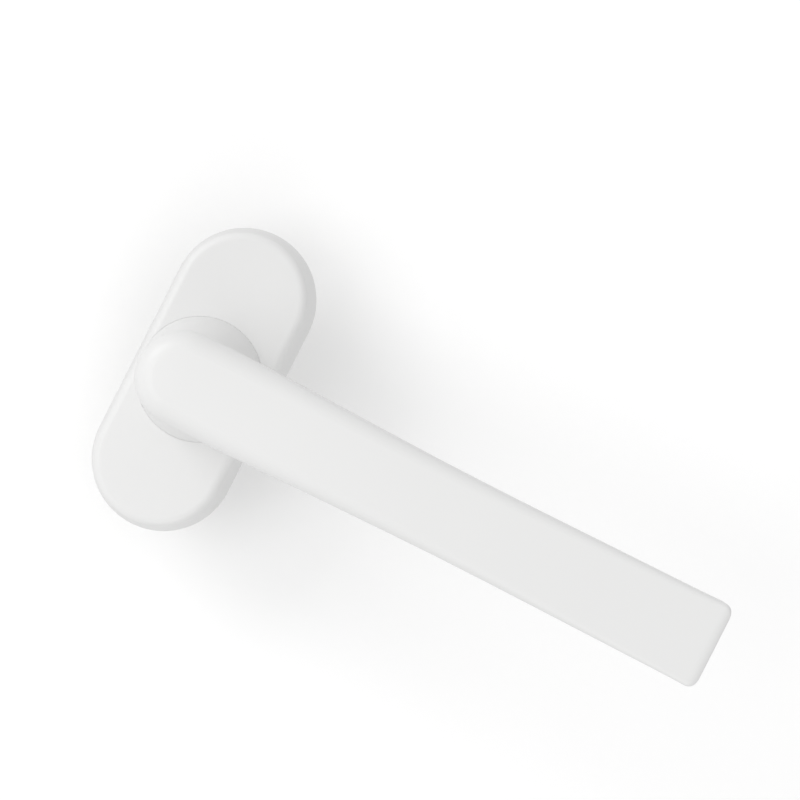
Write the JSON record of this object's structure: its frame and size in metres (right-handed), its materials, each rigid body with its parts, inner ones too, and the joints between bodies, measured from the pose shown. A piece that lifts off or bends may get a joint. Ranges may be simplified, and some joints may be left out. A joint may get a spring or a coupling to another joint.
{
  "type": "tilt turn window handle",
  "caption": "White tilt turn window handle: square-ended lever on a stadium rosette, with square spindle and 90 degree click.",
  "frame": {"origin": "centre of the rosette's mounting face, on the spindle's axis", "axes": "+Z along the spindle's axis, out of the sash into the room; +X along the lever at rest; +Y along the rosette's length"},
  "size_m": [0.1391, 0.0732, 0.088],
  "materials": {
    "lever_coat": "satin",
    "cover_coat": "satin",
    "base_nylon": "matte",
    "slide_plastic": "satin",
    "zinc_steel": "satin",
    "spring_steel": "satin"
  },
  "bodies": {
    "root": {"base_plate": "base_nylon", "neck_bush": "slide_plastic", "thrust_ring": "slide_plastic", "back_plate": "zinc_steel", "back_plate_screws": "zinc_steel", "detent_spring_left": "spring_steel", "detent_spring_right": "spring_steel", "screw_sleeve_top": "zinc_steel", "screw_sleeve_bottom": "zinc_steel", "cover_clip_top": "spring_steel", "cover_clip_bottom": "spring_steel"},
    "handle": {"lever": "lever_coat", "spindle": "zinc_steel", "spindle_pin": "spring_steel", "detent_cam": "slide_plastic", "curved_washer": "spring_steel", "retaining_ring": "spring_steel"},
    "cover": {"rosette_cover": "cover_coat"}
  },
  "joints": [
    {"name": "lever_turn", "type": "hinge", "parent": "root", "child": "handle", "pos_m": [0, 0, 0], "axis": [0, 0, 1], "range_deg": [-90, 90], "deforming": ["detent_spring_left", "detent_spring_right"]},
    {"name": "cover_lift", "type": "slide", "parent": "root", "child": "cover", "axis": [0, 0, 1], "range_m": [0, 0.01]}
  ]
}
